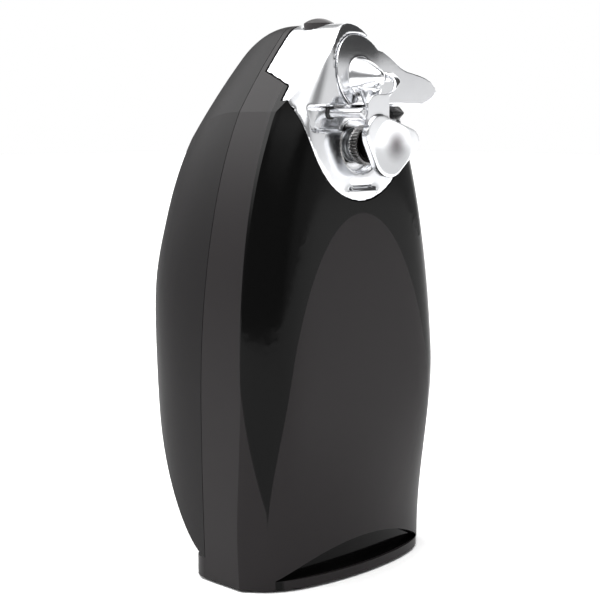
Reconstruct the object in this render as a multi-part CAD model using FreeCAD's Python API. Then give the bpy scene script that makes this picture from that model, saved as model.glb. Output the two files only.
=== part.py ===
"""Electric can opener: every physical piece as its own solid, one STEP file per node.

Frame: X to the right, Y to the back, Z up. X = 0 is the middle plane of the body and Z = 0 is the
surface that the opener stands on. All sizes are in millimetres.
"""
import FreeCAD, Part
import math
import os

V = FreeCAD.Vector

# ---------------------------------------------------------------- driving dimensions: body
WIDTH = 115.4            # widest point of the body
TOP_Z = 237.2            # crown of the shell
WIDEST_Z = 80.0          # height of the widest point
BASE_TUCK = 1.9          # how much each flank draws in at the base
FLANK_HEIGHT = 150.0     # upper semi-axis of the elliptical flank
SHOULDER_Z = 200.0       # where the flank turns into the shoulder
SHOULDER_BULGE = 0.8     # outward bow of the shoulder line
CROWN_RADIUS = 12.3      # rounding across the crown
CROWN_HALF = 9.0         # half-width of the crown arc
FRONT_BASE_Y = -23.6     # front face at the foot
FRONT_LEAN = 0.022       # how far the front leans back per millimetre of height
DOME_START_Z = 210.0     # where the front starts to dome over
DOME_RADIUS = 60.0
EDGE_DROP_LOW = 21.6     # how far the front wraps back at its edge, near the foot
EDGE_DROP_HIGH = 16.8    # and over the upper body
EDGE_POWERS = ((10.0, 7.6), (90.0, 10.9), (190.0, 7.8))     # tightness of that wrap by height
WRAP_CHANGE_Z = (12.0, 88.0)
FOOT_ARC_RADIUS = 146.0  # plan curve of the front at the foot
WALL = 2.4               # shell thickness
SEAM_Y = 18.7            # joint plane of front housing and rear cover
SEAM_GAP = 0.3
REAR_DEPTH = 52.0        # rear cover's depth behind the seam
REAR_CENTRE_Z = 145.0
REAR_POWER = 3.3         # squareness of the rear cover seen from above
REAR_POWER_TOP = 2.15    # and from the side, above its centre
REAR_POWER_LOW = 1.5     # and below it
BODY_BOTTOM_Z = 1.2      # lower edge of the housing
FLOOR = 3.0              # thickness of the housing's floor
PLINTH_TOP_Z = 10.0      # where the rear cover starts
PLINTH_DEPTH = 10.8      # plinth behind the seam
PLINTH_CORNER = 10.0
PAD_HALF_X = 40.0        # rubber pad's half-width
PAD_Y = (-17.5, 27.5)    # rubber pad's front and back
SCOOP_HALF = 46.0        # scoop along the foot of the front
SCOOP_DEPTH = 7.0
SCOOP_Z = (5.0, 17.6)

# ---------------------------------------------------------------- driving dimensions: chrome cap
SHIELD_HALF = 31.5       # half-width of the shield
SHIELD_DROP = 36.9       # depth of the shield below its widest line
SHIELD_Z = 206.2         # height of its widest line at Y = 0
SHIELD_TOP = (29.8, 213.5)   # where its side meets the body's corner, in X and Z at Y = 0
SHIELD_BACK_Y = -3.0     # back of the shield, in the body's corner
CAP_SIDE_Z = 211.6       # cap's edge on the flanks at Y = 0
CAP_RAKE = 0.35          # rise of that edge towards the back
CAP_GAP = 0.2
CAP_BACK_Y = -10.0       # back of the cap's thick front
CAP_REAR_Y = 15.6        # back of its hood over the crown
CHANNEL_Z = (192.0, 202.0)
CHANNEL_HALF = 28.0
CHANNEL_DEPTH = 3.0
DRIVE_Z = 186.2          # drive shaft's height
DISH_RADIUS = 11.6
DISH_FLOOR_Y = -15.3
RIB_Z = 166.5
RIB_RADIUS = 1.5
RIB_HALF = 8.0

# ---------------------------------------------------------------- driving dimensions: cutter
PIVOT = (2.0, 216.5)     # lever pivot in X and Z
LEVER_RADIUS = 15.9      # round end of the lever
LEVER_GAP = 0.35
LEVER_FLOOR_Y = -12.5    # floor of the cap's lever pocket
LEVER_BOTTOM_Z = 202.9
LEVER_TIP = (53.5, 208.8)
LEVER_TOP = ((19.7, 225.2), (24.8, 222.6), (31.0, 219.0), (39.0, 216.8), (45.0, 215.6))
LEVER_RAISE = 22.0       # degrees
POCKET_ANGLE = 63.0      # pocket's edge above the lever, about the pivot
HUB_XZ = (1.2, 214.2)    # cone on the lever
HUB_RADIUS = 8.6
HUB_BASE_Y = -18.0
HUB_TIP_Y = -30.4
BLADE_X = (-2.6, 1.4)
BLADE_THICK = 1.2
BLADE_TIP_Z = 191.7
WHEEL_RADIUS = 8.3
WHEEL_Y = (-23.7, -19.5)
WHEEL_TEETH = 36
BLADE_GAP = 0.4          # between feed wheel and blade
POST_Z = 199.5
POST_X = -15.4
POST_RADIUS = 2.0
POST_TIP_Y = -34.8
STUD_X = 17.6
STUD_RADIUS = 2.8
STUD_TIP_Y = -27.3
ARM_HINGE = (-23.4, 214.6)   # magnet arm's hinge in Y and Z
ARM_BARREL = 2.0
ARM_BARREL_X = (8.8, 12.8)
ARM_STRAP_X = (-9.8, 3.8)
ARM_BEND_Z = 208.0       # where the strap starts to bend back to its hinge
ARM_FRONT_Y = -31.8
ARM_THICK = 1.6
ARM_LUG = 2.2
HINGE_GAP = 0.3
PADDLE_CIRCLES = ((-3.0, 190.4, 8.2), (3.2, 182.6, 9.8), (16.4, 187.6, 5.3))
PADDLE_Y = (-33.2, -29.6)
MAGNET_XZ = (5.0, 186.4)
MAGNET_RADIUS = 6.0
MAGNET_THICK = 2.0

# ---------------------------------------------------------------- driving dimensions: drive
FRAME_THICK = 2.0
FRAME_BOTTOM_Z = 104.0
FRAME_HALF = 25.0
FIT = 0.05               # radial running clearance
SHAFT_RADIUS = 4.0
BUSH_RADIUS = 6.5
PIVOT_RADIUS = 3.5
PIN_RADIUS = 2.5
STAGE_ONE = (0.6, 10, 50)    # module, driving teeth, driven teeth
STAGE_TWO = (0.8, 12, 48)
STAGE_THREE = (1.0, 12, 44)
GEAR_PLANES = ((5.0, 9.0), (0.0, 4.0), (-7.0, -1.0))
PRESSURE_ANGLE = 25.0
ADDENDUM = 0.8
BACKLASH = 0.12
ROTOR_RADIUS = 14.0
AIR_GAP = 0.4
STATOR_Y = (18.0, 36.0)
STATOR_HALF = 27.0
BOLT_X = 21.0
BRACKET_THICK = 2.0
CRANK_RADIUS = 8.0
CRANK_PIN = 1.5
CRANK_Y = (10.0, 13.0)
SLIDER_Y = (13.4, 16.6)
BUTTON_Y = 5.4
BUTTON_RADIUS = 6.6
BUTTON_TRAVEL = 2.5
BUTTON_STEM = 3.6
BUTTON_FLOOR_Z = TOP_Z - 5.2
BUTTON_BOSS_Z = TOP_Z - 9.0
BUTTON_STEM_LENGTH = 3.8     # stem below the boss
BOSS_RADIUS = 4.6
SCREW_RADIUS = 1.5
FLUSH_HEAD = (2.7, 1.4)  # radius and depth of the frame screws' sunk heads
CAP_SCREW = (17.0, 176.0)    # frame screws that enter the cap, in X and Z
CAP_SCREW_TIP_Y = -13.5
REAR_BOSSES = ((40.0, 46.0), (38.0, 150.0))
INLET_Z = 34.0
INLET_Y = 34.5
INLET_RADIUS = 5.0


# ---------------------------------------------------------------- small helpers
def rod(x, z, radius, y0, y1):
    """Cylinder along Y from y0 to y1."""
    return Part.makeCylinder(radius, y1 - y0, V(x, y0, z), V(0, 1, 0))


def post(x, y, radius, z0, z1):
    """Cylinder along Z from z0 to z1."""
    return Part.makeCylinder(radius, z1 - z0, V(x, y, z0), V(0, 0, 1))


def bar(radius, x0, x1, y, z):
    """Cylinder along X from x0 to x1."""
    return Part.makeCylinder(radius, x1 - x0, V(x0, y, z), V(1, 0, 0))


def block(x0, x1, y0, y1, z0, z1):
    """Box between two corners."""
    return Part.makeBox(x1 - x0, y1 - y0, z1 - z0, V(x0, y0, z0))


def ring(x, z, outer, inner, y0, y1):
    """Tube along Y."""
    return rod(x, z, outer, y0, y1).cut(rod(x, z, inner, y0, y1))


def prism(edges, y0, y1):
    """Solid between y0 and y1 of a closed outline drawn in the plane Y = y0."""
    return Part.Face(Part.Wire(edges)).extrude(V(0, y1 - y0, 0))


def polygon(points, y0, y1):
    """Prism along Y with straight sides through (x, z) points."""
    corners = [V(x, y0, z) for x, z in points]
    return Part.Face(Part.makePolygon(corners + corners[:1])).extrude(V(0, y1 - y0, 0))


def curve(points):
    """Smooth edge through points."""
    spline = Part.BSplineCurve()
    spline.interpolate(points)
    return spline.toShape()


def smooth_step(value, low, high):
    """0 below low, 1 above high, with soft ends."""
    t = min(max((value - low) / (high - low), 0.0), 1.0)
    return t * t * (3.0 - 2.0 * t)


def mix(a, b, t):
    return a + (b - a) * t


def rounded_hull(circles, y0, y1):
    """Prism along Y around circles (x, z, r) given anticlockwise: their convex hull."""
    shape = polygon([(x, z) for x, z, r in circles], y0, y1)
    for (xa, za, ra), (xb, zb, rb) in zip(circles, circles[1:] + circles[:1]):
        dx, dz = xb - xa, zb - za
        span = math.hypot(dx, dz)
        lean = math.asin((ra - rb) / span)
        angle = math.atan2(dz, dx) - math.pi / 2 + lean
        nx, nz = math.cos(angle), math.sin(angle)
        side = [(xa, za), (xa + ra * nx, za + ra * nz), (xb + rb * nx, zb + rb * nz), (xb, zb)]
        shape = shape.fuse(polygon(side, y0, y1)).fuse(rod(xa, za, ra, y0, y1))
    return shape.removeSplitter()


def helix_spring(radius, wire, pitch, height, base, direction):
    """Round-wire coil that starts at base and runs along direction."""
    path = Part.makeHelix(pitch, height, radius)
    profile = Part.Wire(Part.makeCircle(wire, V(radius, 0, 0), V(0, 1, 0)))
    coil = Part.Wire(path).makePipeShell([profile], True, True)
    turn = FreeCAD.Rotation(V(0, 0, 1), V(*direction))
    coil.Placement = FreeCAD.Placement(V(*base), turn)
    return coil


# ---------------------------------------------------------------- body surfaces
def half_width(z, inset):
    """Half-width of the body's front outline at a height below the shoulder."""
    half = WIDTH / 2 - inset
    if z <= WIDEST_Z:
        return half - BASE_TUCK * ((WIDEST_Z - z) / WIDEST_Z) ** 2
    return half * math.sqrt(1.0 - ((z - WIDEST_Z) / (FLANK_HEIGHT - inset)) ** 2)


def outline(y, inset=0.0, bottom=BODY_BOTTOM_Z, depth=0.0):
    """Closed front outline in the plane Y = y, shrunk as it is at a share of the rear's depth."""
    across, above, below = [(1.0 - depth ** power) ** (1.0 / power)
                            for power in (REAR_POWER, REAR_POWER_TOP, REAR_POWER_LOW)]

    def place(x, z):
        rise = z - REAR_CENTRE_Z
        return V(x * across, y, REAR_CENTRE_Z + rise * (above if rise > 0 else below))

    steps = 8
    heights = [bottom + (SHOULDER_Z - bottom) * i / steps for i in range(steps + 1)]
    crown_z = TOP_Z - inset - (CROWN_RADIUS - math.sqrt(CROWN_RADIUS ** 2 - CROWN_HALF ** 2))
    crown_x = CROWN_HALF - inset * 0.5
    low_x = half_width(SHOULDER_Z, inset)
    rise, run = crown_z - SHOULDER_Z, low_x - crown_x
    length = math.hypot(rise, run)
    bow_x = (low_x + crown_x) / 2 + SHOULDER_BULGE * rise / length
    bow_z = (SHOULDER_Z + crown_z) / 2 + SHOULDER_BULGE * run / length
    edges = []
    flank = [place(half_width(z, inset), z) for z in heights]
    edges.append(curve(flank))
    edges.append(Part.Arc(flank[-1], place(bow_x, bow_z), place(crown_x, crown_z)).toShape())
    edges.append(Part.Arc(place(crown_x, crown_z), place(0, TOP_Z - inset),
                          place(-crown_x, crown_z)).toShape())
    mirror = [place(-half_width(z, inset), z) for z in reversed(heights)]
    edges.append(Part.Arc(place(-crown_x, crown_z), place(-bow_x, bow_z), mirror[0]).toShape())
    edges.append(curve(mirror))
    edges.append(Part.makeLine(mirror[-1], flank[0]))
    return edges


def front_line(z):
    """Y of the front face on the middle plane."""
    y = FRONT_BASE_Y + FRONT_LEAN * z
    if z > DOME_START_Z:
        y += (z - DOME_START_Z) ** 2 / (2 * DOME_RADIUS)
    return y


def wrap_width(z):
    """Half-width over which the front wraps back."""
    if z <= SHOULDER_Z:
        return half_width(max(z, 0.0), 0.0)
    return half_width(SHOULDER_Z, 0.0) - 0.40 * (z - SHOULDER_Z)


def front_y(x, z):
    """Y of the front face anywhere."""
    blend = smooth_step(z, *WRAP_CHANGE_Z)
    half = wrap_width(z)
    bow = mix(1.0 / (2 * FOOT_ARC_RADIUS), 0.0, blend)
    drop = mix(EDGE_DROP_LOW, EDGE_DROP_HIGH, blend) - bow * half ** 2
    (low_z, low), (mid_z, mid), (high_z, high) = EDGE_POWERS
    power = mix(low, mid, (z - low_z) / (mid_z - low_z))
    if z > mid_z:
        power = mix(mid, high, (z - mid_z) / (high_z - mid_z))
    return front_line(z) + bow * x ** 2 + drop * (abs(x) / half) ** power


def front_body(shift=0.0):
    """Everything behind the front face, moved back by shift."""
    columns = [mix(-1.08, 1.08, i / 32) for i in range(33)]
    rows = [mix(-10.0, 252.0, i / 26) for i in range(27)]
    grid = [[V(u * wrap_width(z), front_y(u * wrap_width(z), z) + shift, z) for z in rows]
            for u in columns]
    surface = Part.BSplineSurface()
    surface.interpolate(grid)
    return surface.toShape().extrude(V(0, 120, 0))


def cap_zone(gap):
    """Space of the cap, drawn in by gap: all that is above its raked side edge, and the shield."""
    y = -80.0
    low = y * CAP_RAKE + gap
    edge, far = CAP_SIDE_Z + low, 320.0
    corners = [V(-80.0, y, edge), V(80.0, y, edge), V(80.0, y, far), V(-80.0, y, far)]
    length = CAP_REAR_Y - gap - y
    lean = V(0, length, length * CAP_RAKE)
    upper = Part.Face(Part.makePolygon(corners + corners[:1])).extrude(lean)
    narrow = 1.5 * gap
    half, top = SHIELD_HALF - narrow, SHIELD_Z + low
    turns = [math.pi + math.pi * i / 12 for i in range(13)]
    arc = [V(half * math.cos(t), y, top + SHIELD_DROP * math.sin(t)) for t in turns]
    side = [V(SHIELD_TOP[0] - narrow, y, SHIELD_TOP[1] + low), V(SHIELD_TOP[0] - narrow, y, far)]
    mirror = [V(-p.x, p.y, p.z) for p in reversed(side)]
    rest = Part.makePolygon([arc[-1]] + side + mirror + [arc[0]])
    back = SHIELD_BACK_Y - gap - y
    shield = Part.Face(Part.Wire([curve(arc)] + rest.Edges)).extrude(V(0, back, back * CAP_RAKE))
    return upper.fuse(shield)


OUTER_FRONT = prism(outline(-70.0), -70.0, SEAM_Y - SEAM_GAP / 2).common(front_body())
INNER_PRISM = prism(outline(-70.0, WALL, BODY_BOTTOM_Z + FLOOR), -70.0, SEAM_Y + 5.0)
INNER_FRONT = INNER_PRISM.common(front_body(WALL * 1.25))


def rear_block(inset, start):
    """Rear volume: outlines that shrink towards the back, lofted."""
    depth = REAR_DEPTH - inset
    edge_y = SEAM_Y + SEAM_GAP / 2
    wires = [Part.Wire(outline(start, inset, PLINTH_TOP_Z + SEAM_GAP + inset))]
    for f in (0.22, 0.42, 0.60, 0.75, 0.87, 0.95, 0.99):
        edges = outline(edge_y + depth * f, inset, PLINTH_TOP_Z + SEAM_GAP + inset, f)
        wires.append(Part.Wire(edges))
    return Part.makeLoft(wires, True, False)


# ---------------------------------------------------------------- shells
def make_front_housing():
    """Front shell with its floor, plinth, scoop and screw posts."""
    shell = OUTER_FRONT.cut(INNER_FRONT)
    half = half_width(BODY_BOTTOM_Z, 0.0)
    back = SEAM_Y + PLINTH_DEPTH
    seam = SEAM_Y - SEAM_GAP / 2
    plinth = block(-half, half, seam, back, BODY_BOTTOM_Z, PLINTH_TOP_Z)
    upright = [e for e in plinth.Edges if abs(e.tangentAt(e.FirstParameter).z) > 0.99
               and e.CenterOfMass.y > back - 1.0]
    plinth = plinth.makeFillet(PLINTH_CORNER - 0.5, upright)
    hollow = block(-half + WALL, half - WALL, seam - 1.0, back - WALL,
                   BODY_BOTTOM_Z + FLOOR, PLINTH_TOP_Z + 1.0)
    upright = [e for e in hollow.Edges if abs(e.tangentAt(e.FirstParameter).z) > 0.99
               and e.CenterOfMass.y > back - WALL - 1.0]
    hollow = hollow.makeFillet(PLINTH_CORNER - WALL, upright)
    shell = shell.fuse(plinth.cut(hollow))
    for x, z in REAR_BOSSES:
        for side in (-1, 1):
            pillar = rod(side * x, z, BOSS_RADIUS, -22.0, SEAM_Y - SEAM_GAP / 2)
            shell = shell.fuse(pillar.common(OUTER_FRONT))
    for side in (-1, 1):
        pillar = rod(side * BOLT_X, FRAME_BOTTOM_Z + 4.0, BOSS_RADIUS, -22.0, CAP_BACK_Y)
        shell = shell.fuse(pillar.common(OUTER_FRONT))
    inner_scoop = scoop(SCOOP_DEPTH + WALL, WALL)
    shell = shell.fuse(inner_scoop.common(OUTER_FRONT)).cut(scoop(SCOOP_DEPTH, 0.0))
    shell = shell.cut(cap_zone(-CAP_GAP / 2))
    for x, z in REAR_BOSSES:
        for side in (-1, 1):
            shell = shell.cut(rod(side * x, z, SCREW_RADIUS, SEAM_Y - 12.0, SEAM_Y))
    for side in (-1, 1):
        shell = shell.cut(rod(side * BOLT_X, FRAME_BOTTOM_Z + 4.0, SCREW_RADIUS, -17.0, CAP_BACK_Y))
    return shell.cut(pad_block())


def scoop(depth, grow):
    """Crescent scoop that runs along the foot of the front."""
    low, high = SCOOP_Z[0] - grow, SCOOP_Z[1] + grow
    half = SCOOP_HALF + grow
    left, right = V(-half, 0, low), V(half, 0, low)
    rim = Part.Arc(right, V(0, 0, high), left).toShape()
    face = Part.Face(Part.Wire([Part.makeLine(left, right), rim]))
    crescent = face.extrude(V(0, 60, 0))
    crescent.translate(V(0, -60.0, 0))
    floor_radius = FOOT_ARC_RADIUS + 60.0
    centre_y = FRONT_BASE_Y + depth + floor_radius
    keep = Part.makeCylinder(floor_radius, 60.0, V(0, centre_y, -10.0))
    return crescent.cut(keep)


def pad_block():
    """Rubber pad's volume."""
    pad = block(-PAD_HALF_X, PAD_HALF_X, *PAD_Y, 0.0, BODY_BOTTOM_Z + 1.0)
    upright = [e for e in pad.Edges if abs(e.tangentAt(e.FirstParameter).z) > 0.99]
    return pad.makeFillet(8.0, upright)


def make_rear_cover():
    """Domed rear shell with screw wells, vents and the cord inlet's seat."""
    edge = SEAM_Y + SEAM_GAP / 2
    outer = rear_block(0.0, edge)
    cover = outer.cut(rear_block(WALL, edge - 0.5))
    for x, z in REAR_BOSSES:
        for side in (-1, 1):
            cover = cover.fuse(rod(side * x, z, BOSS_RADIUS + 1.0, edge, 90.0).common(outer))
    seat = rod(0.0, INLET_Z, INLET_RADIUS + 6.0, INLET_Y - 4.0, 90.0).common(outer)
    cover = cover.fuse(seat)
    cover = cover.cut(rod(0.0, INLET_Z, INLET_RADIUS, 20.0, 90.0))
    cover = cover.cut(rod(0.0, INLET_Z, INLET_RADIUS + 3.5, INLET_Y, 90.0))
    for x, z in REAR_BOSSES:
        for side in (-1, 1):
            cover = cover.cut(rod(side * x, z, SCREW_RADIUS + 0.2, edge - 1.0, 90.0))
            cover = cover.cut(rod(side * x, z, SCREW_RADIUS + 2.1, edge + 8.0, 90.0))
    for row in range(6):
        z = 124.0 + 6.0 * row
        slot = block(-15.0, 15.0, SEAM_Y + 30.0, 90.0, z - 1.3, z + 1.3)
        cover = cover.cut(slot)
    return cover


def lever_pocket(gap):
    """Space that the lever sweeps in the cap's front: its round end and the open right side."""
    x, z = PIVOT
    far = 60.0
    low = block(x - far, x + far, -70.0, LEVER_FLOOR_Y, z - far, LEVER_BOTTOM_Z - gap)
    raised = low.copy()
    raised.rotate(V(x, 0, z), V(0, -1, 0), LEVER_RAISE)
    disc = rod(x, z, LEVER_RADIUS + gap, -70.0, LEVER_FLOOR_Y)
    angle = math.radians(POCKET_ANGLE)
    open_side = [(x, LEVER_BOTTOM_Z - gap), (x + far, LEVER_BOTTOM_Z - gap), (x + far, z + far),
                 (x + far * math.cos(angle), z + far * math.sin(angle)), (x, z)]
    swept = disc.cut(low).fuse(disc.cut(raised))
    return swept.fuse(polygon(open_side, -70.0, LEVER_FLOOR_Y))


def make_chrome_cap():
    """Chrome cap and shield, one thick-fronted moulding."""
    cap = OUTER_FRONT.common(cap_zone(CAP_GAP / 2))
    cap = cap.cut(prism(outline(CAP_BACK_Y, WALL), CAP_BACK_Y, SEAM_Y + 5.0))
    boss = post(0.0, BUTTON_Y, BUTTON_RADIUS + 2.2, BUTTON_BOSS_Z, TOP_Z)
    cap = cap.fuse(boss.common(OUTER_FRONT))
    cap = cap.cut(lever_pocket(LEVER_GAP))
    groove = front_body().cut(front_body(CHANNEL_DEPTH))
    window = block(-CHANNEL_HALF, CHANNEL_HALF, -40.0, 0.0, *CHANNEL_Z)
    cap = cap.cut(groove.common(window))
    cap = cap.cut(rod(0.0, DRIVE_Z, DISH_RADIUS, -40.0, DISH_FLOOR_Y))
    rib_y = front_line(RIB_Z) + 0.3
    rib = bar(RIB_RADIUS, -RIB_HALF, RIB_HALF, rib_y, RIB_Z)
    for side in (-1, 1):
        rib = rib.fuse(Part.makeSphere(RIB_RADIUS, V(side * RIB_HALF, rib_y, RIB_Z)))
    cap = cap.fuse(rib)
    dimple_y = front_line(RIB_Z + 3.0)
    cap = cap.cut(bar(RIB_RADIUS * 0.8, -RIB_HALF + 2.0, RIB_HALF - 2.0, dimple_y, RIB_Z + 3.0))
    cap = cap.cut(rod(0.0, DRIVE_Z, BUSH_RADIUS, -40.0, 0.0))
    cap = cap.cut(rod(*PIVOT, PIVOT_RADIUS + FIT, -40.0, 0.0))
    cap = cap.cut(rod(POST_X, POST_Z, POST_RADIUS, -40.0, 0.0))
    cap = cap.cut(rod(STUD_X, POST_Z, STUD_RADIUS, -40.0, 0.0))
    for side in (-1, 1):
        cap = cap.cut(rod(side * CAP_SCREW[0], CAP_SCREW[1], SCREW_RADIUS, CAP_SCREW_TIP_Y, 0.0))
    cap = cap.cut(post(0.0, BUTTON_Y, BUTTON_RADIUS + 0.3, BUTTON_FLOOR_Z, 250.0))
    return cap.cut(post(0.0, BUTTON_Y, BUTTON_STEM + FIT, 200.0, 250.0))


# ---------------------------------------------------------------- cutter unit
def lever_front(shift):
    """Everything behind the lever's face."""
    columns = [mix(-20.0, 56.0, i / 12) for i in range(13)]
    rows = [mix(196.0, 240.0, i / 9) for i in range(10)]
    grid = [[V(x, front_line(z) + 3.0 * smooth_step(x, 6.0, 34.0) + shift, z) for z in rows]
            for x in columns]
    surface = Part.BSplineSurface()
    surface.interpolate(grid)
    return surface.toShape().extrude(V(0, 40, 0))


def lever_outline():
    """Lever's round end and its thumb tab as one prism."""
    x, z = PIVOT
    back = LEVER_FLOOR_Y - LEVER_GAP
    low = block(x - 40, x + 40, -70.0, 0.0, z - 60.0, LEVER_BOTTOM_Z)
    disc = rod(x, z, LEVER_RADIUS, -60.0, back).cut(low)
    leave = math.radians(38.0)
    tip_x, tip_z = LEVER_TIP
    start = V(x + LEVER_RADIUS * math.cos(leave), -60.0, z + LEVER_RADIUS * math.sin(leave))
    top = [start] + [V(px, -60.0, pz) for px, pz in LEVER_TOP]
    top += [V(tip_x - 3.0, -60.0, tip_z + 4.4), V(tip_x, -60.0, tip_z)]
    under = Part.Arc(V(tip_x, -60.0, tip_z), V(tip_x - 3.4, -60.0, tip_z - 3.4),
                     V(tip_x - 14.0, -60.0, LEVER_BOTTOM_Z + 0.4)).toShape()
    ends = Part.makePolygon([V(tip_x - 14.0, -60.0, LEVER_BOTTOM_Z + 0.4),
                             V(x, -60.0, LEVER_BOTTOM_Z), V(x, -60.0, z), start])
    tab = prism([curve(top), under] + ends.Edges, -60.0, back)
    return disc.fuse(tab)


def hub_cone():
    """Bullet-shaped hub that points forward."""
    x, z = HUB_XZ
    length = HUB_BASE_Y - HUB_TIP_Y
    base = V(0, 3.0, 0)
    nose = [V(HUB_RADIUS, 0, 0), V(HUB_RADIUS * 0.80, -length * 0.36, 0),
            V(HUB_RADIUS * 0.42, -length * 0.78, 0), V(HUB_RADIUS * 0.21, -length * 0.95, 0),
            V(HUB_RADIUS * 0.07, -length, 0)]
    outline_edges = [curve(nose), Part.makeLine(nose[-1], V(0, -length, 0)),
                     Part.makeLine(V(0, -length, 0), base),
                     Part.makeLine(base, V(HUB_RADIUS, 3.0, 0)),
                     Part.makeLine(V(HUB_RADIUS, 3.0, 0), nose[0])]
    cone = Part.Face(Part.Wire(outline_edges)).revolve(V(0, 0, 0), V(0, 1, 0), 360)
    cone.translate(V(x, HUB_BASE_Y, z))
    return cone


BLADE_Y = (WHEEL_Y[0] - BLADE_GAP - BLADE_THICK, WHEEL_Y[0] - BLADE_GAP)


def make_cutting_blade():
    """Flat pointed blade in front of the feed wheel."""
    x0, x1 = BLADE_X
    top = HUB_XZ[1] - 5.0
    points = [(x0, top), (x1, top), (x1, BLADE_TIP_Z + 3.0), (x1 - 1.2, BLADE_TIP_Z),
              (x0, BLADE_TIP_Z + 4.5)]
    return polygon(points, *BLADE_Y)


def make_cutting_lever():
    """Chrome lever: round end, thumb tab, hub cone, blade seat and hinge lugs."""
    lever = lever_outline().common(lever_front(0.0))
    lever = lever.fuse(hub_cone())
    seat_y = (BLADE_Y[0] + BLADE_Y[1]) / 2
    seat = Part.makeCone(2.4, 5.2, 7.0, V((BLADE_X[0] + BLADE_X[1]) / 2, seat_y, 202.6), V(0, 0, 1))
    lever = lever.fuse(seat)
    hinge_y, hinge_z = ARM_HINGE
    for x0 in (ARM_BARREL_X[0] - HINGE_GAP - ARM_LUG, ARM_BARREL_X[1] + HINGE_GAP):
        lug = block(x0, x0 + ARM_LUG, hinge_y, LEVER_FLOOR_Y - 1.5, hinge_z - 2.0, hinge_z + 2.0)
        lug = lug.fuse(bar(2.0, x0, x0 + ARM_LUG, hinge_y, hinge_z))
        lever = lever.fuse(lug)
    lever = lever.cut(make_arm_pin())
    lever = lever.cut(rod(*PIVOT, PIVOT_RADIUS, -16.5, -10.0))
    return lever.cut(make_cutting_blade())


def make_magnet_arm():
    """Arm that hangs in front of the cutter, from its hinge barrel down to the magnet's paddle."""
    y, z = ARM_HINGE
    front, back = ARM_FRONT_Y, ARM_FRONT_Y + ARM_THICK
    low, bend = 192.0, ARM_BEND_Z
    outer = Part.Arc(V(0, y, z + ARM_BARREL), V(0, front + 2.5, bend + 5.9), V(0, front, bend))
    inner = Part.Arc(V(0, back, bend), V(0, back + 2.1, bend + 4.8),
                     V(0, y, z + ARM_BARREL - ARM_THICK))
    ends = [Part.makeLine(V(0, front, bend), V(0, front, low)),
            Part.makeLine(V(0, front, low), V(0, back, low)),
            Part.makeLine(V(0, back, low), V(0, back, bend)),
            Part.makeLine(V(0, y, z + ARM_BARREL - ARM_THICK), V(0, y, z + ARM_BARREL))]
    profile = Part.Face(Part.Wire([outer.toShape()] + ends[:3] + [inner.toShape(), ends[3]]))
    profile.translate(V(-20.0, 0, 0))
    strip = profile.extrude(V(60.0, 0, 0))
    (hinge_low, hinge_high), (strap_low, strap_high) = ARM_BARREL_X, ARM_STRAP_X
    right = [V(hinge_high, -50, 228.0), V(hinge_high, -50, bend + 4.6), V(strap_high, -50, bend - 1.6),
             V(strap_high, -50, low - 1.0)]
    left = [V(strap_low, -50, low - 1.0), V(strap_low, -50, bend - 4.5),
            V(strap_low + 3.0, -50, bend - 1.6), V(1.5, -50, bend - 0.7),
            V(hinge_low, -50, bend + 4.4), V(hinge_low, -50, 228.0)]
    closed = [Part.makePolygon(right + left[:2]).Edges, [curve(left[1:5])],
              Part.makePolygon([left[4], left[5], right[0]]).Edges]
    shape = Part.Face(Part.Wire(sum(closed, []))).extrude(V(0, 40, 0))
    arm = strip.common(shape)
    arm = arm.fuse(rounded_hull(PADDLE_CIRCLES, *PADDLE_Y))
    dish_radius, dish_depth = 70.0, 0.9
    dish = Part.makeSphere(dish_radius, V(4.5, PADDLE_Y[0] - dish_radius + dish_depth, 185.5))
    arm = arm.fuse(bar(ARM_BARREL, *ARM_BARREL_X, y, z)).cut(dish)
    arm = arm.cut(make_lid_magnet())
    return arm.cut(bar(1.0 + FIT, -20.0, 30.0, y, z))


def make_lid_magnet():
    """Disc magnet let into the back of the paddle."""
    y1 = PADDLE_Y[1] + 1.0
    return rod(*MAGNET_XZ, MAGNET_RADIUS, y1 - MAGNET_THICK, y1)


def make_arm_pin():
    """Hinge pin of the magnet arm."""
    x0 = ARM_BARREL_X[0] - HINGE_GAP - ARM_LUG
    x1 = ARM_BARREL_X[1] + HINGE_GAP + ARM_LUG
    return bar(1.0, x0, x1, *ARM_HINGE)


def make_pivot_shaft():
    """Shaft that carries the lever and turns in the cap and the frame."""
    return rod(*PIVOT, PIVOT_RADIUS, -16.5, CRANK_Y[1])


def make_guide_post():
    """Long bright post that the can's rim rides on."""
    shape = rod(POST_X, POST_Z, POST_RADIUS, POST_TIP_Y, CAP_BACK_Y)
    tip = [e for e in shape.Edges if e.CenterOfMass.y < POST_TIP_Y + 0.1 and e.Length > 5.0]
    shape = shape.makeFillet(0.8, tip)
    return shape.cut(Part.makeSphere(0.6, V(POST_X, POST_TIP_Y, POST_Z)))


def make_guide_stud():
    """Short black stud with a pointed end."""
    neck = STUD_TIP_Y + STUD_RADIUS * 1.1
    shape = rod(STUD_X, POST_Z, STUD_RADIUS, neck, CAP_BACK_Y)
    point = Part.makeCone(STUD_RADIUS, 0.5, neck - STUD_TIP_Y, V(STUD_X, neck, POST_Z), V(0, -1, 0))
    return shape.fuse(point).removeSplitter()


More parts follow.
